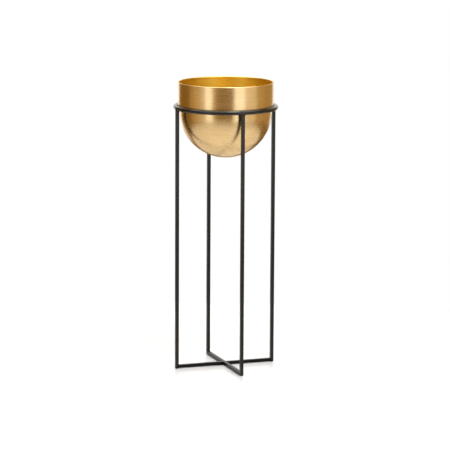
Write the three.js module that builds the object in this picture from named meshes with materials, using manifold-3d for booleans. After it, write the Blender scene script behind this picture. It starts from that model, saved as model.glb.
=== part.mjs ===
// Plant stand: a spun brass bowl that lifts out of a welded black steel frame.
// Millimetres, +Z up. The origin is on the floor, straight below the middle of the bowl.
// The four legs stand at the front (-Y), right (+X), back (+Y) and left (-X).

import * as THREE from "three";
import { mergeVertices } from "three/addons/utils/BufferGeometryUtils.js";
import Module from "manifold-3d";

// Left open between two pieces that are welded, glued or resting on each other.
const CONTACT_GAP = 0.3;
const CUT_OVERRUN = 1; // how far a cutting shape runs past what it cuts
const CORNER_STEPS = 3; // facets of a small rounded corner

// Ring: one round rod bent to a hoop.
const RING_HEIGHT = 688; // floor to the middle of the rod
const ROD_DIAMETER = 11;
const RING_CLEARANCE = 1; // between the bowl's collar and the inside of the ring
const RING_STEPS = 80;
const ROD_STEPS = 12;

// Legs and floor bars: square bar with slightly eased edges.
const BAR_SIDE = 8.5;
const BAR_EDGE_RADIUS = 0.8;
const LEG_HORN = 3; // how far below the middle of the rod the coped leg top stops

// Weld bead where each leg meets the ring.
const WELD_HEIGHT = 3.5; // below the underside of the rod
const WELD_TOE = 0.9; // beyond the leg's faces at the bottom of the bead
const WELD_THROAT = 1.5; // beyond the leg's faces at the top of the bead

// Floor pads, one under each foot.
const PAD_DIAMETER = 7;
const PAD_THICKNESS = 1.2;
const PAD_EDGE_ROUND = 0.4;
const PAD_STEPS = 24;

// Bowl: one spun sheet with a hemisphere below and a wider straight collar above.
const DOME_RADIUS = 120; // outside of the hemisphere
const DOME_SKIRT = 10; // straight wall between the hemisphere and the shoulder
const SHOULDER_WIDTH = 5; // how far the collar stands out from the dome
const SHOULDER_ROUND = 2; // outer bend, on the outside of the sheet
const SHOULDER_FILLET = 1.5; // inner bend, on the outside of the sheet
const COLLAR_HEIGHT = 66; // shoulder to rim
const BOWL_WALL = 1.5;
const HEM_HEIGHT = 5; // the rim's edge is folded back inwards by this much
const BOWL_STEPS = 72;
const DOME_ARC_STEPS = 14;
const HEM_ARC_STEPS = 8;

// Seat tabs, welded inside the ring, that carry the bowl by its shoulder.
const TAB_WIDTH = 14;
const TAB_THICKNESS = 3;
const TAB_DROP = 1; // tab's top below the middle of the rod
const TAB_DOME_CLEARANCE = 1;
const TAB_CORNER_RADIUS = 1.2;

// What follows from the values above.
const ROD_RADIUS = ROD_DIAMETER / 2;
const COLLAR_RADIUS = DOME_RADIUS + SHOULDER_WIDTH;
const RING_RADIUS = COLLAR_RADIUS + RING_CLEARANCE + ROD_RADIUS; // to the middle of the rod
const FRAME_RADIUS = RING_RADIUS + ROD_RADIUS; // outer faces of ring, legs and floor bars
const LEG_RADIUS = FRAME_RADIUS - BAR_SIDE / 2;
const BAR_UNDERSIDE = PAD_THICKNESS + CONTACT_GAP;
const MITRE_RELIEF = (CONTACT_GAP / 2) * Math.SQRT2; // half the mitre's gap, along the bar
const TAB_TOP = RING_HEIGHT - TAB_DROP;
const TAB_UNDERSIDE = TAB_TOP - TAB_THICKNESS;
const SHOULDER_HEIGHT = TAB_TOP + CONTACT_GAP;
const RIM_HEIGHT = SHOULDER_HEIGHT + COLLAR_HEIGHT;

// Colours and surfaces of the three materials.
const BRASS = { color: 0xc79a55, roughness: 0.28, metalness: 1 };
const BLACK_COAT = { color: 0x1d1c1b, roughness: 0.45, metalness: 0.2 };
const BLACK_RUBBER = { color: 0x101010, roughness: 0.9, metalness: 0 };

// The four sides, each with the turn about Z that brings the +X side there.
const SIDES = [
  { name: "right", turn: 0 },
  { name: "back", turn: Math.PI / 2 },
  { name: "left", turn: Math.PI },
  { name: "front", turn: -Math.PI / 2 },
];

const wasm = await Module();
wasm.setup();

// A closed three.js geometry as a solid that can be cut.
function solidOf(geometry) {
  const bare = geometry.clone();
  bare.deleteAttribute("normal");
  bare.deleteAttribute("uv");
  const merged = mergeVertices(bare, 1e-4);
  const vertProperties = new Float32Array(merged.attributes.position.array);
  const triVerts = new Uint32Array(merged.index.array);
  return new wasm.Manifold(new wasm.Mesh({ numProp: 3, vertProperties, triVerts }));
}

// A cut solid as a three.js geometry again.
function geometryOf(solid) {
  const mesh = solid.getMesh();
  const geometry = new THREE.BufferGeometry();
  geometry.setAttribute("position", new THREE.BufferAttribute(mesh.vertProperties, 3));
  geometry.setIndex(new THREE.BufferAttribute(mesh.triVerts, 1));
  geometry.computeVertexNormals();
  return geometry;
}

// Points of an arc, both ends included, with the angles in degrees.
function arc(centreX, centreY, radius, from, to, steps) {
  return Array.from({ length: steps + 1 }, (_, i) => {
    const angle = THREE.MathUtils.degToRad(THREE.MathUtils.lerp(from, to, i / steps));
    return new THREE.Vector2(
      centreX + radius * Math.cos(angle),
      centreY + radius * Math.sin(angle),
    );
  });
}

// A profile of radius against height, turned about the Z axis.
function turned(profile, steps) {
  return new THREE.LatheGeometry(profile, steps).rotateX(Math.PI / 2);
}

// A square outline with round corners, centred on the origin.
function squareOutline(side, cornerRadius, cornerSteps = 2) {
  const inset = side / 2 - cornerRadius;
  const corners = [
    [inset, inset, 0],
    [-inset, inset, 90],
    [-inset, -inset, 180],
    [inset, -inset, 270],
  ];
  const points = corners.flatMap(([x, y, start]) =>
    arc(x, y, cornerRadius, start, start + 90, cornerSteps),
  );
  return new THREE.Shape(points);
}

// A square bar that stands on the plane z = 0.
function barGeometry(side, length) {
  const outline = squareOutline(side, (BAR_EDGE_RADIUS * side) / BAR_SIDE);
  return new THREE.ExtrudeGeometry(outline, { depth: length, bevelEnabled: false });
}

// Moves each vertex of one end of a standing bar along the bar, which makes a 45 degree mitre.
// The end's height becomes height + slope * x, where x is measured across the bar.
function mitre(geometry, endHeight, height, slope) {
  const position = geometry.attributes.position;
  for (let i = 0; i < position.count; i++) {
    if (Math.abs(position.getZ(i) - endHeight) > 1e-3) continue;
    position.setZ(i, height + slope * position.getX(i));
  }
  return geometry;
}

// The ring's rod, made thicker by a margin where it is used to cut a neighbour.
function ringGeometry(margin = 0) {
  return new THREE.TorusGeometry(RING_RADIUS, ROD_RADIUS + margin, ROD_STEPS, RING_STEPS);
}

// A leg on the +X side, mitred at the foot and coped round the ring's rod at the top.
function legGeometry() {
  const length = RING_HEIGHT - LEG_HORN - BAR_UNDERSIDE;
  const bar = barGeometry(BAR_SIDE, length);
  mitre(bar, 0, BAR_SIDE / 2 + MITRE_RELIEF, -1);
  bar.translate(LEG_RADIUS, 0, BAR_UNDERSIDE);
  const rod = ringGeometry(CONTACT_GAP).translate(0, 0, RING_HEIGHT);
  return geometryOf(solidOf(bar).subtract(solidOf(rod)));
}

// The bead of weld round the top of the leg on the +X side. It stops below the seat tab.
function weldGeometry() {
  const bottom = RING_HEIGHT - ROD_RADIUS - WELD_HEIGHT;
  const height = TAB_UNDERSIDE - CONTACT_GAP - bottom;
  const widest = BAR_SIDE + 2 * WELD_THROAT;
  const toe = (BAR_SIDE + 2 * WELD_TOE) / widest;
  const bead = barGeometry(widest, height);
  const position = bead.attributes.position;
  for (let i = 0; i < position.count; i++) {
    const share = THREE.MathUtils.lerp(toe, 1, position.getZ(i) / height);
    position.setX(i, position.getX(i) * share);
    position.setY(i, position.getY(i) * share);
  }
  bead.translate(LEG_RADIUS, 0, bottom);
  const legHole = barGeometry(BAR_SIDE + 2 * CONTACT_GAP, height + 2 * CUT_OVERRUN);
  legHole.translate(LEG_RADIUS, 0, bottom - CUT_OVERRUN);
  const rod = ringGeometry(CONTACT_GAP).translate(0, 0, RING_HEIGHT);
  return geometryOf(solidOf(bead).subtract(solidOf(legHole)).subtract(solidOf(rod)));
}

// A floor bar that runs along +X from a start, with its outer end mitred under the leg.
function halfBarGeometry(start) {
  const length = LEG_RADIUS - start;
  const bar = barGeometry(BAR_SIDE, length);
  mitre(bar, length, length - MITRE_RELIEF, 1);
  return bar.rotateY(Math.PI / 2).translate(start, 0, BAR_UNDERSIDE + BAR_SIDE / 2);
}

// The floor bar that runs right through the crossing, mitred at both ends.
function throughBarGeometry() {
  const bar = barGeometry(BAR_SIDE, 2 * LEG_RADIUS);
  mitre(bar, 2 * LEG_RADIUS, 2 * LEG_RADIUS - MITRE_RELIEF, 1);
  mitre(bar, 0, MITRE_RELIEF, -1);
  bar.rotateY(Math.PI / 2).translate(-LEG_RADIUS, 0, BAR_UNDERSIDE + BAR_SIDE / 2);
  return bar;
}

// A round pad with an eased lower edge, under the foot on the +X side.
function padGeometry() {
  const radius = PAD_DIAMETER / 2;
  const inner = radius - PAD_EDGE_ROUND;
  const profile = [
    new THREE.Vector2(0, 0),
    ...arc(inner, PAD_EDGE_ROUND, PAD_EDGE_ROUND, -90, 0, CORNER_STEPS),
    new THREE.Vector2(radius, PAD_THICKNESS),
    new THREE.Vector2(0, PAD_THICKNESS),
  ];
  return turned(profile, PAD_STEPS).translate(LEG_RADIUS, 0, 0);
}

// A seat tab on the +X side: a flat plate with its outer end coped to the rod.
function tabGeometry() {
  const inner = DOME_RADIUS + TAB_DOME_CLEARANCE;
  const outer = RING_RADIUS;
  const half = TAB_WIDTH / 2;
  const r = TAB_CORNER_RADIUS;
  const outline = new THREE.Shape([
    new THREE.Vector2(outer, -half),
    new THREE.Vector2(outer, half),
    ...arc(inner + r, half - r, r, 90, 180, CORNER_STEPS),
    ...arc(inner + r, -half + r, r, 180, 270, CORNER_STEPS),
  ]);
  const plate = new THREE.ExtrudeGeometry(outline, { depth: TAB_THICKNESS, bevelEnabled: false });
  plate.translate(0, 0, TAB_UNDERSIDE);
  const rod = ringGeometry(CONTACT_GAP).translate(0, 0, RING_HEIGHT);
  const domeHole = new THREE.CylinderGeometry(inner, inner, 2 * TAB_THICKNESS, BOWL_STEPS);
  domeHole.rotateX(Math.PI / 2).translate(0, 0, TAB_TOP);
  return geometryOf(solidOf(plate).subtract(solidOf(rod)).subtract(solidOf(domeHole)));
}

// The bowl's sheet: outer face from the pole up to the rim, then the inner face back down.
function bowlGeometry() {
  const shoulder = SHOULDER_HEIGHT;
  const domeCentre = shoulder - SHOULDER_FILLET - DOME_SKIRT;
  const bendX = COLLAR_RADIUS - SHOULDER_ROUND;
  const bendY = shoulder + SHOULDER_ROUND;
  const filletX = DOME_RADIUS + SHOULDER_FILLET;
  const filletY = shoulder - SHOULDER_FILLET;
  const hemRadius = BOWL_WALL; // the folded edge is two sheets thick, with a round top
  const hemY = RIM_HEIGHT - hemRadius;
  const innerCollar = COLLAR_RADIUS - BOWL_WALL;
  const hemFoot = RIM_HEIGHT - HEM_HEIGHT;
  const profile = [
    ...arc(0, domeCentre, DOME_RADIUS, -90, 0, DOME_ARC_STEPS),
    ...arc(filletX, filletY, SHOULDER_FILLET, 180, 90, CORNER_STEPS),
    ...arc(bendX, bendY, SHOULDER_ROUND, -90, 0, CORNER_STEPS),
    ...arc(COLLAR_RADIUS - hemRadius, hemY, hemRadius, 0, 180, HEM_ARC_STEPS),
    new THREE.Vector2(COLLAR_RADIUS - 2 * BOWL_WALL, hemFoot + BOWL_WALL / 2),
    new THREE.Vector2(COLLAR_RADIUS - 1.5 * BOWL_WALL, hemFoot),
    new THREE.Vector2(innerCollar, hemFoot),
    ...arc(bendX, bendY, SHOULDER_ROUND - BOWL_WALL, 0, -90, CORNER_STEPS),
    ...arc(filletX, filletY, SHOULDER_FILLET + BOWL_WALL, 90, 180, CORNER_STEPS),
    ...arc(0, domeCentre, DOME_RADIUS - BOWL_WALL, 0, -90, DOME_ARC_STEPS),
  ];
  profile[0].x = 0;
  profile[profile.length - 1].x = 0;
  return turned(profile, BOWL_STEPS);
}

// A named piece in its own material.
function piece(name, geometry, finish) {
  const mesh = new THREE.Mesh(geometry, new THREE.MeshStandardMaterial(finish));
  mesh.name = name;
  return mesh;
}

// The pieces of one side of the frame, turned into place.
function frameSide(side) {
  const group = new THREE.Group();
  group.add(piece(`leg_${side.name}`, legGeometry(), BLACK_COAT));
  group.add(piece(`leg_weld_${side.name}`, weldGeometry(), BLACK_COAT));
  group.add(piece(`seat_tab_${side.name}`, tabGeometry(), BLACK_COAT));
  group.add(piece(`foot_pad_${side.name}`, padGeometry(), BLACK_RUBBER));
  group.rotation.z = side.turn;
  return group;
}

// The two floor bars of the cross: one whole, and one in two halves that butt against it.
function floorCross() {
  const group = new THREE.Group();
  const through = piece("floor_bar_front_back", throughBarGeometry(), BLACK_COAT);
  through.rotation.z = Math.PI / 2;
  group.add(through);
  const start = BAR_SIDE / 2 + CONTACT_GAP;
  for (const side of SIDES.filter(({ name }) => name === "right" || name === "left")) {
    const half = piece(`floor_bar_${side.name}`, halfBarGeometry(start), BLACK_COAT);
    half.rotation.z = side.turn;
    group.add(half);
  }
  return group;
}

function frame() {
  const group = new THREE.Group();
  const ring = piece("top_ring", ringGeometry(), BLACK_COAT);
  ring.position.z = RING_HEIGHT;
  group.add(ring, floorCross(), ...SIDES.map(frameSide));
  return group;
}

const plantStand = new THREE.Group();
plantStand.add(frame(), piece("bowl", bowlGeometry(), BRASS));

export default plantStand;
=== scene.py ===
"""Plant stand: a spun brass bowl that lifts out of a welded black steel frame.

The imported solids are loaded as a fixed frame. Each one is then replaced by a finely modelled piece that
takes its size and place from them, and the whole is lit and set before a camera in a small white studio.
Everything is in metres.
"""

import logging
from collections.abc import Callable, Iterator, Sequence
from contextlib import contextmanager
from dataclasses import dataclass, replace
from enum import Enum
from math import atan2, cos, hypot, pi, radians, sin, tan

import bmesh
import bpy
from mathutils import Matrix, Vector


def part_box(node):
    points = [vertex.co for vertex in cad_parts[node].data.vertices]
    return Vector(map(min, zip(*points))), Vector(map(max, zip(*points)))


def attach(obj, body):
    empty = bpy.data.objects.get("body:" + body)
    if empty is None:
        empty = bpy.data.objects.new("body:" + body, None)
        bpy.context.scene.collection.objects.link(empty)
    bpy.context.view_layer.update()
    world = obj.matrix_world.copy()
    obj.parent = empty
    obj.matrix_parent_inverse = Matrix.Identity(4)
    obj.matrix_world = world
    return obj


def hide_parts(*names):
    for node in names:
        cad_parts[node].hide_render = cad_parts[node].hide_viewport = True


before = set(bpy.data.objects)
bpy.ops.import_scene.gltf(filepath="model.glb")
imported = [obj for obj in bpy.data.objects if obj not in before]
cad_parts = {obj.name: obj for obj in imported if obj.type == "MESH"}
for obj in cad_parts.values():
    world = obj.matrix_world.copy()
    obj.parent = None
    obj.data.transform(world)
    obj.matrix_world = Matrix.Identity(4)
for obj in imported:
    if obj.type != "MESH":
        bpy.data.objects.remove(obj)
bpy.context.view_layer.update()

LOG = logging.getLogger("plant_stand")
MM = 0.001
UP = Vector((0.0, 0.0, 1.0))
TOUCH = 0.01 * MM
NOISE_LOW = 0.3
NOISE_HIGH = 0.7
FLAT_FACE_WEIGHT = 60
Value = float | tuple[float, ...] | bpy.types.NodeSocket


class Body(Enum):
    """The two bodies that the pieces ride on."""

    STAND = "stand"
    BOWL = "bowl"


class Slot(Enum):
    """The record's material slots."""

    BRASS = "bowl_brass"
    BLACK = "frame_black"
    PAD = "foot_pad"


class Side(Enum):
    """The four sides of the stand, each with its turn from the right-hand side, in degrees."""

    RIGHT = 0
    BACK = 90
    LEFT = 180
    FRONT = 270

    @property
    def label(self) -> str:
        """The side's name as the solids have it."""
        return self.name.lower()


class Pick(Enum):
    """The kinds of mesh element that can be selected."""

    VERTS = "VERT"
    EDGES = "EDGE"


# --------------------------------------------------------------------------------------------------
# Modelling by hand
# --------------------------------------------------------------------------------------------------


def activate(piece: bpy.types.Object) -> None:
    """Makes a piece the only selected object and the active one.

    Args:
        piece: the object to work on.
    """
    bpy.ops.object.select_all(action="DESELECT")
    piece.select_set(True)
    bpy.context.view_layer.objects.active = piece


def begin(name: str, primitive: Callable[..., object], **settings: object) -> bpy.types.Object:
    """Adds a primitive and puts its place and size into its mesh.

    Args:
        name: the new piece's name.
        primitive: one of Blender's primitive operators.
        **settings: what the operator takes.

    Returns:
        The new object, which sits at the origin, unturned and unscaled.
    """
    bpy.ops.object.select_all(action="DESELECT")
    primitive(**settings)
    piece = bpy.context.active_object
    piece.name = name
    piece.data.name = name
    bpy.ops.object.transform_apply(location=True, rotation=True, scale=True)
    return piece


@contextmanager
def editing(piece: bpy.types.Object) -> Iterator[None]:
    """Opens a piece in edit mode with nothing selected, and closes it again.

    Args:
        piece: the object to edit.
    """
    activate(piece)
    bpy.ops.object.mode_set(mode="EDIT")
    bpy.ops.mesh.select_all(action="DESELECT")
    yield
    bpy.ops.object.mode_set(mode="OBJECT")


def pick(kind: Pick, test: Callable[[list[Vector]], bool]) -> None:
    """Selects the elements of the mesh in edit mode that pass a test, and no others.

    Args:
        kind: which kind of element to go through.
        test: takes the places of an element's corners and says whether to select it.
    """
    bpy.ops.mesh.select_mode(type=kind.value)
    bpy.ops.mesh.select_all(action="DESELECT")
    mesh = bpy.context.edit_object.data
    shape = bmesh.from_edit_mesh(mesh)
    elements = {Pick.VERTS: shape.verts, Pick.EDGES: shape.edges}[kind]
    for element in elements:
        corners = [element] if kind is Pick.VERTS else element.verts
        element.select_set(test([vert.co for vert in corners]))
    shape.select_flush_mode()
    bmesh.update_edit_mesh(mesh)


def cut(place: Sequence[float], normal: Sequence[float], fill: bool = True) -> None:
    """Cuts what is selected in edit mode by a plane and drops what is in front of the plane.

    Args:
        place: a point on the plane.
        normal: points to the part that is dropped.
        fill: whether the cut is closed with a face.
    """
    bpy.ops.mesh.bisect(plane_co=place, plane_no=normal, use_fill=fill, clear_outer=True)


def apply_modifier(piece: bpy.types.Object, kind: str, **settings: object) -> None:
    """Adds a modifier to a piece and applies it.

    Args:
        piece: the object that is changed.
        kind: the modifier's type.
        **settings: the modifier's own settings.
    """
    modifier = piece.modifiers.new(kind.lower(), kind)
    for key, value in settings.items():
        setattr(modifier, key, value)
    activate(piece)
    bpy.ops.object.modifier_apply(modifier=modifier.name)


def cope(piece: bpy.types.Object, cutter: bpy.types.Object) -> None:
    """Cuts one piece to the shape of another, as a bar's end is coped to a rod.

    Args:
        piece: the object that is cut.
        cutter: the object whose room is taken out of it.
    """
    apply_modifier(piece, "BOOLEAN", operation="DIFFERENCE", solver="EXACT", object=cutter)


def smooth(piece: bpy.types.Object, crease: float = 40.0) -> None:
    """Shades a piece smooth, apart from its sharp edges, with its large faces kept flat.

    Args:
        piece: the object to shade.
        crease: the angle between faces, in degrees, from which an edge stays sharp.
    """
    activate(piece)
    bpy.ops.object.shade_smooth_by_angle(angle=radians(crease))
    apply_modifier(piece, "WEIGHTED_NORMAL", keep_sharp=True, weight=FLAT_FACE_WEIGHT)


def turned_copy(source: bpy.types.Object, name: str, degrees: float) -> bpy.types.Object:
    """Copies a piece, with a mesh of its own, and turns the copy about the stand's upright axis.

    Args:
        source: the piece to copy.
        name: the copy's name.
        degrees: the turn, against the clock as seen from above.

    Returns:
        The copy.
    """
    copy = source.copy()
    copy.data = source.data.copy()
    copy.name = name
    copy.data.name = name
    copy.data.transform(Matrix.Rotation(radians(degrees), 4, "Z"))
    bpy.context.scene.collection.objects.link(copy)
    return copy


def install(
    piece: bpy.types.Object, node: str, body: Body, finish: bpy.types.Material
) -> None:
    """Gives a finished piece its material and puts it in the place of a solid.

    Args:
        piece: the finished object.
        node: the solid that it stands for.
        body: the body that it moves with.
        finish: the material.
    """
    piece.data.materials.clear()
    piece.data.materials.append(finish)
    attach(piece, body.value)
    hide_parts(node)
    LOG.info("%s stands for %s, with %d faces", piece.name, node, len(piece.data.polygons))


# --------------------------------------------------------------------------------------------------
# Finishes
# --------------------------------------------------------------------------------------------------


class NodeSheet:
    """The node tree of a material or world, with short calls that add nodes and join them up."""

    def __init__(self, tree: bpy.types.NodeTree) -> None:
        """Starts with an empty tree.

        Args:
            tree: the node tree to fill.
        """
        self.tree = tree
        self.tree.nodes.clear()

    def add(
        self, kind: str, inputs: dict[str | int, Value] | None = None, **settings: object
    ) -> bpy.types.Node:
        """Adds a node.

        Args:
            kind: the node's type, without the leading ShaderNode.
            inputs: what goes into its sockets, by name or number: a plain value, or a socket to join.
            **settings: the node's own settings.

        Returns:
            The new node.
        """
        node = self.tree.nodes.new(f"ShaderNode{kind}")
        for key, value in settings.items():
            setattr(node, key, value)
        for key, value in (inputs or {}).items():
            if isinstance(value, bpy.types.NodeSocket):
                self.tree.links.new(value, node.inputs[key])
            else:
                node.inputs[key].default_value = value
        return node

    def noise(
        self, place: bpy.types.NodeSocket, scale: float | Sequence[float], detail: float = 2.0
    ) -> bpy.types.NodeSocket:
        """Adds a noise texture.

        Args:
            place: the coordinate that it is read at.
            scale: how fine it is, or how fine along each of the three axes.
            detail: how many finer layers it has.

        Returns:
            The socket with its grey value, about 0.5 on average.
        """
        if isinstance(scale, Sequence):
            place = self.add("Mapping", {"Vector": place, "Scale": tuple(scale)}).outputs["Vector"]
            scale = 1.0
        node = self.add("TexNoise", {"Vector": place, "Scale": scale, "Detail": detail})
        return node.outputs["Fac"]

    def ranged(
        self, value: bpy.types.NodeSocket, low: float = 0.0, high: float = 1.0
    ) -> bpy.types.NodeSocket:
        """Spreads the middle of a noise over a range.

        Args:
            value: the noise.
            low: what its dark parts become.
            high: what its light parts become.

        Returns:
            The socket with the new value.
        """
        inputs = {
            "Value": value,
            "From Min": NOISE_LOW,
            "From Max": NOISE_HIGH,
            "To Min": low,
            "To Max": high,
        }
        return self.add("MapRange", inputs).outputs["Result"]

    def blend(self, share: bpy.types.NodeSocket, first: Value, second: Value) -> bpy.types.NodeSocket:
        """Mixes two colours.

        Args:
            share: how much of the second shows.
            first: a colour, plain or as a socket.
            second: another colour.

        Returns:
            The socket with the mixed colour.
        """
        return self.add("MixRGB", {"Fac": share, "Color1": first, "Color2": second}).outputs["Color"]

    def bump(
        self, height: bpy.types.NodeSocket, depth: float, under: bpy.types.NodeSocket | None = None
    ) -> bpy.types.NodeSocket:
        """Turns a height into a surface normal.

        Args:
            height: the relief, from 0 to 1.
            depth: how deep the whole relief is, in metres.
            under: the normal of a relief that this one lies on.

        Returns:
            The socket with the normal.
        """
        inputs: dict[str | int, Value] = {"Height": height, "Distance": depth, "Strength": 1.0}
        if under is not None:
            inputs["Normal"] = under
        return self.add("Bump", inputs).outputs["Normal"]


def opaque(red: float, green: float, blue: float) -> tuple[float, float, float, float]:
    """A colour in linear light, with full cover."""
    return (red, green, blue, 1.0)


def new_sheet(name: str) -> tuple[bpy.types.Material, NodeSheet]:
    """Starts a material.

    Args:
        name: the material's name.

    Returns:
        The material and its empty sheet.
    """
    material = bpy.data.materials.new(name)
    material.use_nodes = True
    return material, NodeSheet(material.node_tree)


@dataclass(frozen=True)
class SpunBrass:
    """Brass sheet spun on a lathe, brushed round and round, and lacquered.

    The pattern follows the attribute spun_length, which runs along the sheet from the bowl's bottom to its
    rim. Where inner_face is above 0, the colour is a deeper, more saturated brass that paints in the light
    bouncing round inside the bowl, and the sheet is a little rougher.
    """

    light: tuple[float, ...] = opaque(0.76, 0.54, 0.27)
    deep: tuple[float, ...] = opaque(0.68, 0.47, 0.22)
    # Painted light: the inner colours are a deeper, more saturated brass that stands in for light bouncing
    # round inside the bowl.
    inner_bounce_light: tuple[float, ...] = opaque(0.88, 0.625, 0.11)
    inner_bounce_deep: tuple[float, ...] = opaque(0.80, 0.53, 0.06)
    roughness: tuple[float, float] = (0.23, 0.30)
    inner_roughness: float = 0.10
    stretch: float = 0.45
    line_depth: float = 0.005 * MM
    wave_depth: float = 0.3 * MM
    line_scale: tuple[float, ...] = (9, 9, 900)
    band_scale: tuple[float, ...] = (4, 4, 210)
    patina_scale: float = 34.0
    wave_scale: float = 16.0
    patina_share: float = 0.7
    band_share: float = 0.3
    brush_turn: float = 0.25

    def make(self) -> bpy.types.Material:
        """Builds the material.

        Returns:
            The finished material.
        """
        material, sheet = new_sheet("spun_brass")
        place = sheet.add("TexCoord").outputs["Object"]
        along = sheet.add("Attribute", attribute_name="spun_length").outputs["Fac"]
        split = sheet.add("SeparateXYZ", {"Vector": place}).outputs
        spun = sheet.add("CombineXYZ", {"X": split["X"], "Y": split["Y"], "Z": along}).outputs["Vector"]
        lines = sheet.noise(spun, self.line_scale, detail=3.0)
        bands = sheet.noise(spun, self.band_scale)
        patina = sheet.noise(place, self.patina_scale, detail=4.0)
        tones = {
            0: sheet.ranged(patina, high=self.patina_share),
            1: sheet.ranged(bands, high=self.band_share),
        }
        tone = sheet.add("Math", tones, operation="ADD").outputs["Value"]
        inside = sheet.add("Attribute", attribute_name="inner_face").outputs["Fac"]
        outer_colour = sheet.blend(tone, self.light, self.deep)
        # painted bounce light: the inner side's deeper colour, mixed in where inner_face is above 0
        painted_bounce_colour = sheet.blend(tone, self.inner_bounce_light, self.inner_bounce_deep)
        wavy = sheet.bump(sheet.noise(place, self.wave_scale, detail=1.0), self.wave_depth)
        brushed = {0: inside, 1: self.inner_roughness, 2: sheet.ranged(lines, *self.roughness)}
        shader = sheet.add(
            "BsdfPrincipled",
            {
                "Base Color": sheet.blend(inside, outer_colour, painted_bounce_colour),
                "Metallic": 1.0,
                "Roughness": sheet.add("Math", brushed, operation="MULTIPLY_ADD").outputs["Value"],
                "Anisotropic": self.stretch,
                "Anisotropic Rotation": self.brush_turn,
                "Normal": sheet.bump(lines, self.line_depth, wavy),
                "Tangent": sheet.add("Tangent", direction_type="RADIAL", axis="Z").outputs["Tangent"],
            },
        )
        sheet.add("OutputMaterial", {"Surface": shader.outputs["BSDF"]})
        return material


@dataclass(frozen=True)
class Coating:
    """A dark, even coating with a fine grain: powder coat or rubber."""

    name: str
    light: tuple[float, ...]
    deep: tuple[float, ...]
    roughness: tuple[float, float]
    grain_scale: float
    grain_depth: float
    cloud_scale: float = 60.0
    gloss: float = 0.5
    gloss_tint: tuple[float, ...] = opaque(1.0, 1.0, 1.0)

    def make(self) -> bpy.types.Material:
        """Builds the material.

        Returns:
            The finished material.
        """
        material, sheet = new_sheet(self.name)
        place = sheet.add("TexCoord").outputs["Object"]
        grain = sheet.noise(place, self.grain_scale)
        cloud = sheet.noise(place, self.cloud_scale, detail=3.0)
        shader = sheet.add(
            "BsdfPrincipled",
            {
                "Base Color": sheet.blend(sheet.ranged(cloud), self.deep, self.light),
                "Roughness": sheet.ranged(grain, *self.roughness),
                "Specular IOR Level": self.gloss,
                "Specular Tint": self.gloss_tint,
                "Normal": sheet.bump(grain, self.grain_depth),
            },
        )
        sheet.add("OutputMaterial", {"Surface": shader.outputs["BSDF"]})
        return material


@dataclass(frozen=True)
class PaleBoard:
    """White satin board with a fine straight grain, which draws reflections out sideways."""

    grain_angle: float
    light: tuple[float, ...] = opaque(0.66, 0.633, 0.612)
    deep: tuple[float, ...] = opaque(0.642, 0.616, 0.595)
    roughness: tuple[float, float] = (0.30, 0.34)
    stretch: float = 0.95
    cloud_scale: float = 24.0
    grain_scale: float = 700.0

    def make(self) -> bpy.types.Material:
        """Builds the material.

        Returns:
            The finished material.
        """
        material, sheet = new_sheet("pale_board")
        place = sheet.add("TexCoord").outputs["Object"]
        cloud = sheet.noise(place, self.cloud_scale, detail=3.0)
        grain = sheet.noise(place, self.grain_scale)
        angle = radians(self.grain_angle)
        aside = sheet.add("CombineXYZ", {"X": cos(angle), "Y": sin(angle)}).outputs["Vector"]
        shader = sheet.add(
            "BsdfPrincipled",
            {
                "Base Color": sheet.blend(sheet.ranged(cloud), self.deep, self.light),
                "Roughness": sheet.ranged(grain, *self.roughness),
                "Anisotropic": self.stretch,
                "Tangent": aside,
            },
        )
        sheet.add("OutputMaterial", {"Surface": shader.outputs["BSDF"]})
        return material


POWDER_COAT = Coating(
    name="powder_coat",
    light=opaque(0.010, 0.0094, 0.0086),
    deep=opaque(0.006, 0.0056, 0.0051),
    roughness=(0.25, 0.33),
    grain_scale=900.0,
    grain_depth=0.004 * MM,
    gloss=0.34,
    gloss_tint=opaque(1.0, 0.90, 0.80),
)
RING_COAT = replace(POWDER_COAT, name="ring_coat", roughness=(0.15, 0.20), gloss=0.38)
# Painted shade: the floor bars take a darker copy of the powder coat, with less gloss, for the shade they lie
# in down by the floor.
SHADED_FLOOR_COAT = replace(
    POWDER_COAT,
    name="floor_bar_painted_shade_coat",
    light=opaque(0.005, 0.0047, 0.0043),
    deep=opaque(0.003, 0.0028, 0.0026),
    gloss=0.15,
)
PAD_RUBBER = Coating(
    name="pad_rubber",
    light=opaque(0.022, 0.022, 0.021),
    deep=opaque(0.011, 0.011, 0.011),
    roughness=(0.7, 0.9),
    grain_scale=2400.0,
    grain_depth=0.04 * MM,
)


# --------------------------------------------------------------------------------------------------
# Sub-assemblies
# --------------------------------------------------------------------------------------------------


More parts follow.
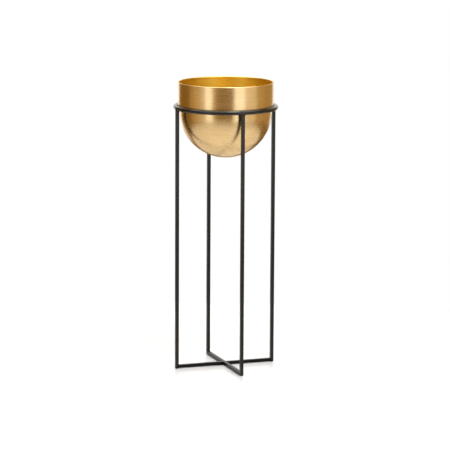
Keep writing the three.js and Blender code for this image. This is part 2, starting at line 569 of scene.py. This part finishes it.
@dataclass
class Bowl:
    """The spun sheet: a hemisphere below, a shoulder, a wider straight collar and a rim folded inwards."""

    bottom: float
    rim: float
    collar_radius: float
    wall: float = 1.5 * MM
    shoulder_width: float = 5.0 * MM
    shoulder_fillet: float = 1.5 * MM
    shoulder_round: float = 2.0 * MM
    collar_height: float = 66.0 * MM
    hem_height: float = 5.0 * MM
    # Share of the painted bounce colour, and of the extra roughness, on the dome's inner side.
    dome_bounce_share: float = 0.15
    segments: int = 192
    rings: int = 96
    bend_reach: float = 0.02 * MM
    merge_reach: float = 0.005 * MM
    rim_land: float = 0.02 * MM

    @classmethod
    def from_frame(cls) -> "Bowl":
        """Takes the bowl's reach from its solid."""
        low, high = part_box("bowl")
        return cls(bottom=low.z, rim=high.z, collar_radius=high.x)

    @property
    def dome_radius(self) -> float:
        """Outer radius of the hemisphere."""
        return self.collar_radius - self.shoulder_width

    @property
    def dome_centre(self) -> float:
        """Height of the hemisphere's middle."""
        return self.bottom + self.dome_radius

    @property
    def shoulder(self) -> float:
        """Height of the shoulder's underside."""
        return self.rim - self.collar_height

    def add_dome(self, radius: float) -> None:
        """Adds, in edit mode, the lower half of a ball about the dome's middle, open at the top.

        Args:
            radius: the ball's radius.
        """
        centre = (0.0, 0.0, self.dome_centre)
        bpy.ops.mesh.select_all(action="DESELECT")
        bpy.ops.mesh.primitive_uv_sphere_add(
            segments=self.segments, ring_count=self.rings, radius=radius, location=centre
        )
        cut(centre, UP, fill=False)

    def draw_sheet(self) -> None:
        """Draws the sheet on, in edit mode, from the outer dome's edge over the rim to the inner dome."""
        wall = self.wall
        inner_collar = self.collar_radius - wall
        inner_dome = self.dome_radius - wall
        path = (
            (self.dome_radius, self.shoulder),
            (self.collar_radius, self.shoulder),
            (self.collar_radius, self.rim),
            (inner_collar - wall, self.rim),
            (inner_collar - wall, self.rim - self.hem_height),
            (inner_collar, self.rim - self.hem_height),
            (inner_collar, self.shoulder + wall),
            (inner_dome, self.shoulder + wall),
            (inner_dome, self.dome_centre),
        )
        radius, height = self.dome_radius, self.dome_centre
        pick(Pick.VERTS, lambda corners: abs(corners[0].z - self.dome_centre) < TOUCH)
        for next_radius, next_height in path:
            widen = next_radius / radius
            rise = (0, 0, next_height - height)
            bpy.ops.mesh.extrude_region_move(TRANSFORM_OT_translate={"value": rise})
            bpy.ops.transform.resize(value=(widen, widen, 1), center_override=(0, 0, next_height))
            radius, height = next_radius, next_height

    def round_bend(self, radius: float, height: float, offset: float, steps: int = 6) -> None:
        """Rounds, in edit mode, one of the corners that the sheet turns round.

        Args:
            radius: the corner's radius.
            height: the corner's height.
            offset: how far the rounding reaches along both faces.
            steps: how many faces it has.
        """
        pick(
            Pick.VERTS,
            lambda corners: abs(hypot(corners[0].x, corners[0].y) - radius) < self.bend_reach
            and abs(corners[0].z - height) < self.bend_reach,
        )
        bpy.ops.mesh.bevel(offset=offset, segments=steps, affect="EDGES")

    def round_bends(self) -> None:
        """Rounds, in edit mode, the shoulder, the rim and the fold's lower edge, inside and out."""
        wall = self.wall
        fold_foot = self.rim - self.hem_height
        self.round_bend(self.dome_radius, self.shoulder, self.shoulder_fillet)
        self.round_bend(self.collar_radius, self.shoulder, self.shoulder_round)
        self.round_bend(self.collar_radius - wall, self.shoulder + wall, self.shoulder_round - wall)
        self.round_bend(self.dome_radius - wall, self.shoulder + wall, self.shoulder_fillet + wall)
        self.round_bend(self.collar_radius - 2 * wall, fold_foot, wall / 2, steps=4)
        self.round_bend(self.collar_radius, self.rim, wall - self.rim_land)
        self.round_bend(self.collar_radius - 2 * wall, self.rim, wall - self.rim_land)

    def mark_inside(self, piece: bpy.types.Object) -> None:
        """Marks the points of the sheet's inner side, where the brass takes its painted bounce colour and is
        a little rougher.

        Args:
            piece: the finished bowl.
        """
        centre = Vector((0.0, 0.0, self.dome_centre))
        marks = piece.data.attributes.new("inner_face", "FLOAT", "POINT")
        for vertex, mark in zip(piece.data.vertices, marks.data):
            reach = hypot(vertex.co.x, vertex.co.y)
            above = vertex.co.z > self.shoulder
            depth = self.collar_radius - reach if above else self.dome_radius - (vertex.co - centre).length
            # 1 on the collar's inner side, a smaller share on the dome's: where the painted bounce light goes
            tone = 1.0 if above else self.dome_bounce_share
            mark.value = tone if depth > self.wall / 2 else 0.0

    def measure_sheet(self, piece: bpy.types.Object) -> None:
        """Writes how far each point lies along the spun sheet, from the bottom, for the brushed finish.

        Args:
            piece: the finished bowl.
        """
        lengths = piece.data.attributes.new("spun_length", "FLOAT", "POINT")
        quarter = self.dome_radius * pi / 2
        for vertex, length in zip(piece.data.vertices, lengths.data):
            drop = self.dome_centre - vertex.co.z
            reach = hypot(vertex.co.x, vertex.co.y)
            length.value = self.dome_radius * atan2(reach, drop) if drop > 0 else quarter - drop

    def build(self, finish: bpy.types.Material) -> None:
        """Makes the bowl and puts it in its solid's place.

        Args:
            finish: the bowl's material.
        """
        piece = begin("spun_bowl", bpy.ops.mesh.primitive_circle_add, vertices=3, radius=self.wall)
        with editing(piece):
            bpy.ops.mesh.select_all(action="SELECT")
            bpy.ops.mesh.delete(type="VERT")
            self.add_dome(self.dome_radius)
            self.draw_sheet()
            self.add_dome(self.dome_radius - self.wall)
            bpy.ops.mesh.select_all(action="SELECT")
            bpy.ops.mesh.remove_doubles(threshold=self.merge_reach)
            bpy.ops.mesh.normals_make_consistent(inside=False)
            self.round_bends()
        smooth(piece)
        self.measure_sheet(piece)
        self.mark_inside(piece)
        install(piece, "bowl", Body.BOWL, finish)


@dataclass
class Ring:
    """The round rod bent to a hoop, with the ground weld where its ends meet."""

    radius: float
    rod_radius: float
    height: float
    seam_angle: float = 45.0
    seam_length: float = 5.0 * MM
    seam_rise: float = 0.12 * MM
    seam_softening: float = 0.5
    segments: int = 256
    rod_segments: int = 48

    @classmethod
    def from_frame(cls) -> "Ring":
        """Takes the ring's sizes from its solid.

        Returns:
            The ring, not yet built.
        """
        low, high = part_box("top_ring")
        rod_radius = (high.z - low.z) / 2
        return cls(radius=high.x - rod_radius, rod_radius=rod_radius, height=(high.z + low.z) / 2)

    def build(self, finish: bpy.types.Material) -> bpy.types.Object:
        """Makes the ring and puts it in its solid's place.

        Args:
            finish: the ring's material.

        Returns:
            The ring.
        """
        piece = begin(
            "rod_ring",
            bpy.ops.mesh.primitive_torus_add,
            location=(0, 0, self.height),
            major_radius=self.radius,
            minor_radius=self.rod_radius,
            major_segments=self.segments,
            minor_segments=self.rod_segments,
        )
        turn = radians(self.seam_angle)
        seam = Vector((cos(turn), sin(turn), 0)) * self.radius
        seam.z = self.height
        reach = hypot(self.seam_length / 2, self.rod_radius)
        with editing(piece):
            pick(Pick.VERTS, lambda corners: (corners[0] - seam).length < reach)
            bpy.ops.transform.shrink_fatten(value=self.seam_rise)
            bpy.ops.mesh.vertices_smooth(factor=self.seam_softening, repeat=1)
        smooth(piece)
        install(piece, "top_ring", Body.STAND, finish)
        return piece


@dataclass
class BarStock:
    """The square bar with eased edges that the legs and the floor bars are cut from."""

    side: float
    edge_radius: float = 0.4 * MM
    edge_steps: int = 4

    def piece(self, name: str, start: Sequence[float], end: Sequence[float]) -> bpy.types.Object:
        """Cuts a straight length of bar along an axis.

        Args:
            name: the new piece's name.
            start: the middle of one end.
            end: the middle of the other end.

        Returns:
            The length of bar, with square ends.
        """
        run = Vector(end) - Vector(start)
        size = [abs(length) or self.side for length in run]
        bar = begin(
            name,
            bpy.ops.mesh.primitive_cube_add,
            size=1,
            location=(Vector(start) + Vector(end)) / 2,
            scale=size,
        )
        with editing(bar):
            pick(Pick.EDGES, lambda corners: abs((corners[0] - corners[1]).dot(run)) > 0)
            bpy.ops.mesh.bevel(offset=self.edge_radius, segments=self.edge_steps, affect="EDGES")
        return bar

    def mitre(self, bar: bpy.types.Object, place: Sequence[float], normal: Sequence[float]) -> None:
        """Cuts a bar's end off at a slant.

        Args:
            bar: the length of bar.
            place: a point on the cut.
            normal: points to the part that is dropped.
        """
        with editing(bar):
            bpy.ops.mesh.select_all(action="SELECT")
            cut(place, normal)


@dataclass
class WeldBead:
    """The weld that joins a leg's coped top to the ring's rod, with a fillet all round.

    It is raised from a bar, a rod and a rounded lump, which are grown together and then softened.
    """

    leg_radius: float
    leg_side: float
    ring_radius: float
    rod_radius: float
    ring_height: float
    toe: float
    sunk: float = 0.5 * MM
    swell: float = 1.1 * MM
    spread: float = 3.2 * MM
    grain: float = 0.3 * MM
    softening: int = 14
    softness: float = 0.6
    ripple: float = 0.22 * MM
    ripple_length: float = 2.0 * MM
    ripple_level: float = 0.6
    rod_segments: int = 40
    lump_segments: int = 48

    def build(self) -> bpy.types.Object:
        """Shapes the weld of the right-hand leg.

        Returns:
            The weld, without its material.
        """
        top = self.ring_height - self.rod_radius / 2
        half = self.leg_side / 2
        bead = begin(
            "weld_bead_right",
            bpy.ops.mesh.primitive_cylinder_add,
            vertices=self.rod_segments,
            radius=self.rod_radius - self.sunk,
            depth=self.leg_side + 2 * self.spread,
            location=(self.ring_radius, 0, self.ring_height),
            rotation=(pi / 2, 0, 0),
        )
        with editing(bead):
            bpy.ops.mesh.primitive_cube_add(
                size=1,
                location=(self.leg_radius, 0, (top + self.toe) / 2),
                scale=(self.leg_side, self.leg_side, top - self.toe),
            )
            bpy.ops.mesh.primitive_uv_sphere_add(
                segments=self.lump_segments,
                ring_count=self.lump_segments // 2,
                radius=1,
                location=(self.leg_radius, 0, top - self.swell),
                scale=(half + self.swell, half + self.spread, top - self.swell - self.toe),
            )
        apply_modifier(bead, "REMESH", mode="VOXEL", voxel_size=self.grain)
        apply_modifier(bead, "SMOOTH", factor=self.softness, iterations=self.softening)
        clouds = bpy.data.textures.new("weld_ripple", "CLOUDS")
        clouds.noise_scale = self.ripple_length
        apply_modifier(
            bead,
            "DISPLACE",
            texture=clouds,
            strength=self.ripple,
            texture_coords="LOCAL",
            mid_level=self.ripple_level,
        )
        return bead


@dataclass
class SeatTab:
    """A short plate inside the ring that carries the bowl by its shoulder."""

    low: Vector
    high: Vector
    rod_middle: float
    corner_radius: float = 1.2 * MM
    corner_steps: int = 5
    edge_break: float = 0.25 * MM
    edge_steps: int = 2
    edge_angle: float = 50.0

    def build(self, ring: bpy.types.Object) -> bpy.types.Object:
        """Shapes the right-hand plate.

        Args:
            ring: the ring that its outer end is coped to.

        Returns:
            The plate, without its material.
        """
        outer = self.rod_middle
        size = Vector((outer - self.low.x, self.high.y - self.low.y, self.high.z - self.low.z))
        centre = Vector(((outer + self.low.x) / 2, 0, (self.low.z + self.high.z) / 2))
        plate = begin(
            "seat_plate_right", bpy.ops.mesh.primitive_cube_add, size=1, location=centre, scale=size
        )
        with editing(plate):
            pick(
                Pick.EDGES,
                lambda corners: abs(corners[0].z - corners[1].z) > size.z / 2
                and corners[0].x < centre.x,
            )
            bpy.ops.mesh.bevel(offset=self.corner_radius, segments=self.corner_steps, affect="EDGES")
        cope(plate, ring)
        apply_modifier(
            plate,
            "BEVEL",
            width=self.edge_break,
            segments=self.edge_steps,
            limit_method="ANGLE",
            angle_limit=radians(self.edge_angle),
        )
        return plate


@dataclass
class Frame:
    """The welded frame: ring, four legs with their beads and seat tabs, the floor cross and its pads."""

    coat: bpy.types.Material
    ring_coat: bpy.types.Material
    shaded_floor_coat: bpy.types.Material
    rubber: bpy.types.Material
    pad_segments: int = 48
    pad_edge: float = 0.4 * MM
    pad_edge_steps: int = 4

    def __post_init__(self) -> None:
        """Takes the frame's sizes from its solids."""
        leg_low, leg_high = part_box("leg_right")
        bar_low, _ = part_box("floor_bar_front_back")
        self.side = leg_high.x - leg_low.x
        self.leg_radius = (leg_high.x + leg_low.x) / 2
        self.leg_top = leg_high.z
        self.underside = bar_low.z
        self.stock = BarStock(side=self.side)

    @property
    def bar_middle(self) -> float:
        """Height of the middle of the floor bars."""
        return self.underside + self.side / 2

    def spread(
        self, source: bpy.types.Object, stem: str, node_stem: str, slot: Slot, finish: bpy.types.Material
    ) -> None:
        """Copies a right-hand piece to the other three sides and puts all four in their solids' places.

        Args:
            source: the right-hand piece.
            stem: what the pieces' names start with.
            node_stem: what the solids' names start with.
            slot: the record's slot of their finish; not used.
            finish: the material.
        """
        for side in Side:
            name = f"{stem}_{side.label}"
            piece = source if side is Side.RIGHT else turned_copy(source, name, side.value)
            install(piece, f"{node_stem}_{side.label}", Body.STAND, finish)

    def build_legs(self, ring: bpy.types.Object) -> None:
        """Makes the four legs, each mitred at the foot and coped to the ring at the top.

        Args:
            ring: the finished ring.
        """
        foot = (self.leg_radius, 0, self.underside)
        leg = self.stock.piece("square_leg_right", foot, (self.leg_radius, 0, self.leg_top))
        self.stock.mitre(leg, (self.leg_radius, 0, self.bar_middle), (-1, 0, -1))
        cope(leg, ring)
        smooth(leg)
        self.spread(leg, "square_leg", "leg", Slot.BLACK, self.coat)

    def build_beads(self, ring: Ring) -> None:
        """Makes the four weld beads.

        Args:
            ring: the ring's sizes.
        """
        low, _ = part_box("leg_weld_right")
        bead = WeldBead(
            leg_radius=self.leg_radius,
            leg_side=self.side,
            ring_radius=ring.radius,
            rod_radius=ring.rod_radius,
            ring_height=ring.height,
            toe=low.z,
        ).build()
        smooth(bead)
        self.spread(bead, "weld_bead", "leg_weld", Slot.BLACK, self.coat)

    def build_tabs(self, ring: bpy.types.Object, rod_middle: float) -> None:
        """Makes the four seat tabs.

        Args:
            ring: the finished ring.
            rod_middle: radius of the middle of the ring's rod.
        """
        low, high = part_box("seat_tab_right")
        tab = SeatTab(low=low, high=high, rod_middle=rod_middle).build(ring)
        smooth(tab)
        self.spread(tab, "seat_plate", "seat_tab", Slot.BLACK, self.coat)

    def build_cross(self) -> None:
        """Makes the floor cross: one bar right through, and two halves that butt against it."""
        reach = self.leg_radius + self.side / 2
        middle = self.bar_middle
        half = self.stock.piece("cross_bar_right", (self.side / 2, 0, middle), (reach, 0, middle))
        self.stock.mitre(half, (self.leg_radius, 0, middle), (1, 0, 1))
        smooth(half)
        other = turned_copy(half, "cross_bar_left", Side.LEFT.value)
        # the floor bars' coat is a darker copy of the powder coat: painted shade
        install(half, "floor_bar_right", Body.STAND, self.shaded_floor_coat)
        install(other, "floor_bar_left", Body.STAND, self.shaded_floor_coat)
        through = self.stock.piece("cross_bar_through", (0, -reach, middle), (0, reach, middle))
        self.stock.mitre(through, (0, self.leg_radius, middle), (0, 1, 1))
        self.stock.mitre(through, (0, -self.leg_radius, middle), (0, -1, 1))
        smooth(through)
        install(through, "floor_bar_front_back", Body.STAND, self.shaded_floor_coat)

    def build_pads(self) -> None:
        """Makes the four round pads under the feet."""
        low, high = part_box("foot_pad_right")
        pad = begin(
            "rubber_pad_right",
            bpy.ops.mesh.primitive_cylinder_add,
            vertices=self.pad_segments,
            radius=(high.x - low.x) / 2,
            depth=self.underside - low.z,
            location=(self.leg_radius, 0, (self.underside + low.z) / 2),
        )
        with editing(pad):
            pick(Pick.EDGES, lambda corners: all(abs(corner.z - low.z) < TOUCH for corner in corners))
            bpy.ops.mesh.bevel(offset=self.pad_edge, segments=self.pad_edge_steps, affect="EDGES")
        smooth(pad)
        self.spread(pad, "rubber_pad", "foot_pad", Slot.PAD, self.rubber)

    def build(self) -> None:
        """Makes the whole frame."""
        sizes = Ring.from_frame()
        ring = sizes.build(self.ring_coat)
        self.build_legs(ring)
        self.build_beads(sizes)
        self.build_tabs(ring, sizes.radius)
        self.build_cross()
        self.build_pads()


# --------------------------------------------------------------------------------------------------
# Studio
# --------------------------------------------------------------------------------------------------


class Tint(Enum):
    """The light panels' colours, in linear light."""

    WHITE = (0.90, 1.0, 1.10)
    COOL = (0.88, 1.02, 1.25)
    SOFT = (0.93, 0.95, 0.90)
    WARM = (1.0, 0.83, 0.52)


def hang_panel(
    name: str,
    place: Vector,
    facing: Vector,
    size: Sequence[float],
    brightness: float,
    tint: Tint = Tint.WHITE,
) -> None:
    """Hangs a flat light panel that the camera doesn't see.

    Args:
        name: the panel's name.
        place: its middle.
        facing: the direction that it shines in.
        size: its width and height.
        brightness: how bright its face is, where plain white paper in full light is 1.
        tint: its colour.
    """
    light = bpy.data.lights.new(name, "AREA")
    light.shape = "RECTANGLE"
    light.size, light.size_y = size
    light.energy = brightness * pi * light.size * light.size_y
    light.color = tint.value
    panel = bpy.data.objects.new(name, light)
    panel.location = place
    panel.rotation_euler = facing.to_track_quat("-Z", "Y").to_euler()
    panel.visible_camera = False
    bpy.context.scene.collection.objects.link(panel)


@dataclass(frozen=True)
class Softbox:
    """A soft light panel that stands at the studio's edge and faces the stand.

    Its two sides are given as azimuths from the camera, in degrees, to the right as it sees them.
    """

    name: str
    start: float
    end: float
    brightness: float
    tint: Tint = Tint.WHITE
    distance: float = 1.25
    height: float = 1.5
    lift: float = 0.25

    def place(self, camera_azimuth: float) -> None:
        """Puts the panel in the scene.

        Args:
            camera_azimuth: the angle of the camera's side of the studio, in degrees from +X.
        """
        width = 2 * self.distance * tan(radians(self.end - self.start) / 2)
        angle = radians(camera_azimuth + (self.start + self.end) / 2)
        towards = Vector((cos(angle), sin(angle), 0))
        place = towards * self.distance + UP * (self.lift + self.height / 2)
        hang_panel(self.name, place, -towards, (width, self.height), self.brightness, self.tint)


@dataclass
class Studio:
    """The small white studio: a pale floor, soft panels, a main light, a dim room and the camera."""

    floor_radius: float = 1.7
    floor_behind: float = 0.8
    floor_segments: int = 160
    overhead_side: float = 3.0
    overhead_height: float = 2.6
    overhead_brightness: float = 3.6
    key_turn: float = 28.0
    key_rise: float = 62.0
    key_distance: float = 2.0
    key_size: tuple[float, float] = (0.55, 0.25)
    key_brightness: float = 48.0
    key_target: float = 0.69
    focal_pixels: float = 2600.0
    image_pixels: float = 450.0
    sensor_width: float = 36.0
    far_clip: float = 100.0
    distance: float = 6.816
    elevation: float = 9.91
    azimuth: float = -19.46
    roll: float = 0.29
    aim_height: float = 0.3757
    aim_aside: float = -0.0004
    room_tint: tuple[float, ...] = opaque(1.0, 0.58, 0.12)
    room_brightness: float = 0.28

    @property
    def camera_side(self) -> float:
        """The angle of the camera's side of the studio, in degrees from +X."""
        return self.azimuth - 90

    def panels(self) -> tuple[Softbox, ...]:
        """The light panels round the stand."""
        return (
            Softbox("fill_left_far", -92, -78, 0.22, Tint.WARM),
            Softbox("fill_left_middle", -78, -62, 0.38, Tint.WARM),
            Softbox("fill_left_near", -62, -48, 0.56, Tint.SOFT),
            Softbox("strip_left", -48, -31, 1.50, Tint.COOL),
            Softbox("strip_left_edge", -31, -22, 0.36, Tint.WARM),
            Softbox("strip_right", 19, 45, 1.46, Tint.COOL),
            Softbox("fill_right_near", 45, 76, 0.72, Tint.SOFT),
            Softbox("fill_right_far", 76, 100, 0.32, Tint.WARM),
            Softbox("edge_right", 100, 145, 0.22, Tint.WARM),
            Softbox("backdrop_left", 205, 218, 1.10, height=1.9, lift=0.0),
            Softbox("backdrop", 148, 205, 1.05, distance=2.4, height=2.6, lift=0.0),
        )

    def lay_floor(self) -> None:
        """Lays the pale board that the stand is on, which reaches well towards the camera."""
        angle = radians(self.camera_side)
        shift = self.floor_radius - self.floor_behind
        floor = begin(
            "studio_floor",
            bpy.ops.mesh.primitive_circle_add,
            vertices=self.floor_segments,
            radius=self.floor_radius,
            location=(shift * cos(angle), shift * sin(angle), 0),
        )
        with editing(floor):
            bpy.ops.mesh.select_all(action="SELECT")
            bpy.ops.mesh.edge_face_add()
        floor.data.materials.append(PaleBoard(grain_angle=self.azimuth).make())

    def hang_overhead(self) -> None:
        """Hangs a large soft panel over the stand."""
        size = (self.overhead_side, self.overhead_side)
        hang_panel("overhead", UP * self.overhead_height, -UP, size, self.overhead_brightness)

    def hang_key(self) -> None:
        """Hangs the smaller and brighter main light, high up in front and to the right."""
        turn = radians(self.camera_side + self.key_turn)
        rise = radians(self.key_rise)
        away = Vector((cos(turn) * cos(rise), sin(turn) * cos(rise), sin(rise)))
        place = UP * self.key_target + away * self.key_distance
        hang_panel("key", place, -away, self.key_size, self.key_brightness)

    def light_room(self) -> None:
        """Makes the dim room between the panels, which the camera itself sees as plain white."""
        world = bpy.data.worlds.new("studio_room")
        world.use_nodes = True
        bpy.context.scene.world = world
        sheet = NodeSheet(world.node_tree)
        rays = sheet.add("LightPath")
        white = sheet.add("Background", {"Color": opaque(1.0, 1.0, 1.0), "Strength": 1.0})
        room = sheet.add("Background", {"Color": self.room_tint, "Strength": self.room_brightness})
        both = sheet.add(
            "MixShader",
            {0: rays.outputs["Is Camera Ray"], 1: room.outputs["Background"], 2: white.outputs["Background"]},
        )
        sheet.add("OutputWorld", {"Surface": both.outputs["Shader"]})

    def set_camera(self) -> None:
        """Sets the camera up at the photograph's viewing angle, with its slight roll."""
        rise = radians(self.elevation)
        turn = radians(self.azimuth)
        back = Vector((sin(turn) * cos(rise), -cos(turn) * cos(rise), sin(rise)))
        level = Vector((cos(turn), sin(turn), 0))
        upright = back.cross(level)
        right = cos(radians(self.roll)) * level + sin(radians(self.roll)) * upright
        above = back.cross(right)
        lens = bpy.data.cameras.new("photo_camera")
        lens.sensor_width = self.sensor_width
        lens.lens = self.focal_pixels / self.image_pixels * self.sensor_width
        lens.clip_end = self.far_clip
        camera = bpy.data.objects.new("photo_camera", lens)
        aim = level * self.aim_aside + UP * self.aim_height
        pose = Matrix((right, above, back)).transposed().to_4x4()
        pose.translation = aim + back * self.distance
        camera.matrix_world = pose
        bpy.context.scene.collection.objects.link(camera)
        bpy.context.scene.camera = camera

    def build(self) -> None:
        """Sets the whole studio up."""
        self.lay_floor()
        for panel in self.panels():
            panel.place(self.camera_side)
        self.hang_overhead()
        self.hang_key()
        self.light_room()
        self.set_camera()
        bpy.context.scene.view_settings.view_transform = "Standard"


def main() -> None:
    """Builds the stand's pieces in order, then its studio."""
    logging.basicConfig(level=logging.INFO, format="%(name)s: %(message)s")
    Bowl.from_frame().build(SpunBrass().make())
    Frame(
        coat=POWDER_COAT.make(),
        ring_coat=RING_COAT.make(),
        shaded_floor_coat=SHADED_FLOOR_COAT.make(),
        rubber=PAD_RUBBER.make(),
    ).build()
    Studio().build()


if __name__ == "__main__":
    main()
